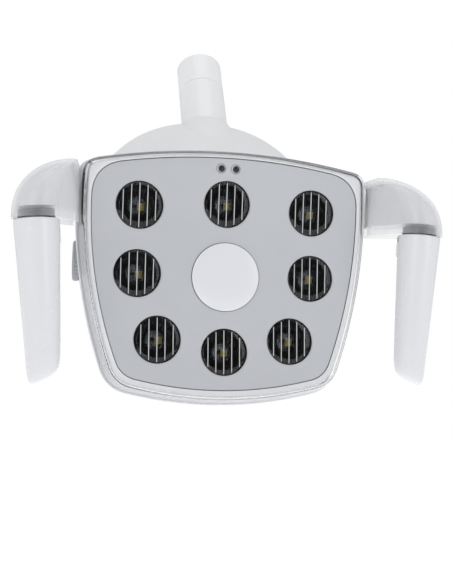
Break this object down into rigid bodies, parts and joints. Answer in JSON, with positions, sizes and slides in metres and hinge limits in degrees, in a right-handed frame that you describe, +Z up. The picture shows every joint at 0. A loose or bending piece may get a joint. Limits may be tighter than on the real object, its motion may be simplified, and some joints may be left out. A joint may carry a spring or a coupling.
{
  "type": "dental operating light",
  "caption": "Dental operating light head: round LED windows in a hollow face, pull-off handles on side wings, tilting on a swivelling neck that plugs onto the arm.",
  "frame": {"origin": "centre of the top rim of the arm socket tube, where the lamp hangs on its arm", "axes": "+X to the right of someone facing the lamp, +Y back away from them, +Z up; the face looks along -Y at rest"},
  "size_m": [0.318, 0.2048, 0.3098],
  "materials": {
    "white_plastic": "satin white",
    "white_paint": "satin white paint",
    "silver_paint": "satin silver paint",
    "clear_plastic": "clear polished",
    "lens_plastic": "clear polished, ribbed",
    "black_gloss": "black gloss",
    "sensor_black": "smoked gloss",
    "dark_plastic": "dark grey gloss",
    "grey_plastic": "satin grey",
    "aluminium": "milled",
    "steel": "brushed",
    "bearing_plastic": "natural",
    "circuit_board": "solder mask",
    "led_yellow": "phosphor",
    "badge_white": "plain satin"
  },
  "bodies": {
    "arm": {"arm_socket_tube": "white_paint", "swivel_screw": "steel", "swivel_bush": "bearing_plastic"},
    "neck": {"neck_tube": "white_paint", "swivel_retainer": "steel"},
    "head": {"rear_casing": "white_plastic", "front_bezel": "white_plastic", "wing_core_left": "white_plastic", "wing_core_right": "white_plastic", "chassis_plate": "aluminium", "tilt_bracket": "steel", "tilt_pin_left": "steel", "tilt_pin_right": "steel", "handle_peg_left": "steel", "handle_peg_right": "steel", "tilt_washer_left": "bearing_plastic", "tilt_washer_right": "bearing_plastic", "driver_board": "circuit_board", "sensor_board": "circuit_board", "dimmer": "dark_plastic", "handle_collar_left": "dark_plastic", "handle_collar_right": "dark_plastic", "face_panel": "silver_paint", "badge": "badge_white", "clear_rim": "clear_plastic", "wing_skin_left": "clear_plastic", "wing_skin_right": "clear_plastic", "sensor_window_left": "sensor_black", "sensor_window_right": "sensor_black", "led_cup_1": "black_gloss", "led_lens_1": "lens_plastic", "led_emitter_1": "led_yellow", "led_cup_2": "black_gloss", "led_lens_2": "lens_plastic", "led_emitter_2": "led_yellow", "led_cup_3": "black_gloss", "led_lens_3": "lens_plastic", "led_emitter_3": "led_yellow", "led_cup_4": "black_gloss", "led_lens_4": "lens_plastic", "led_emitter_4": "led_yellow", "led_cup_5": "black_gloss", "led_lens_5": "lens_plastic", "led_emitter_5": "led_yellow", "led_cup_6": "black_gloss", "led_lens_6": "lens_plastic", "led_emitter_6": "led_yellow", "led_cup_7": "black_gloss", "led_lens_7": "lens_plastic", "led_emitter_7": "led_yellow", "led_cup_8": "black_gloss", "led_lens_8": "lens_plastic", "led_emitter_8": "led_yellow"},
    "knob": {"brightness_knob": "grey_plastic"},
    "grip_left": {"handle_left": "white_plastic"},
    "release_left": {"handle_release_left": "white_plastic"},
    "grip_right": {"handle_right": "white_plastic"},
    "release_right": {"handle_release_right": "white_plastic"}
  },
  "joints": [
    {"name": "neck_swivel", "type": "hinge", "parent": "arm", "child": "neck", "pos_m": [0, -0.01479, -0.02668], "axis": [0, 0.4848, 0.8746], "range_deg": [-165, 165]},
    {"name": "head_tilt", "type": "hinge", "parent": "neck", "child": "head", "pos_m": [0, -0.04872, -0.0879], "axis": [1, 0, 0], "range_deg": [0, 60]},
    {"name": "knob_turn", "type": "hinge", "parent": "head", "child": "knob", "pos_m": [-0.1089, -0.08632, -0.1895], "axis": [-1, 0, 0], "range_deg": [-135, 135]},
    {"name": "handle_left_slide", "type": "slide", "parent": "head", "child": "grip_left", "axis": [0.0732, 0, -0.9973], "range_m": [0, 0.045]},
    {"name": "release_left_press", "type": "slide", "parent": "grip_left", "child": "release_left", "axis": [-0.9002, -0.4305, -0.0661], "range_m": [0, 0.002], "stiffness_N_per_m": 600},
    {"name": "handle_right_slide", "type": "slide", "parent": "head", "child": "grip_right", "axis": [-0.0732, 0, -0.9973], "range_m": [0, 0.045]},
    {"name": "release_right_press", "type": "slide", "parent": "grip_right", "child": "release_right", "axis": [0.9002, -0.4305, -0.0661], "range_m": [0, 0.002], "stiffness_N_per_m": 600}
  ]
}
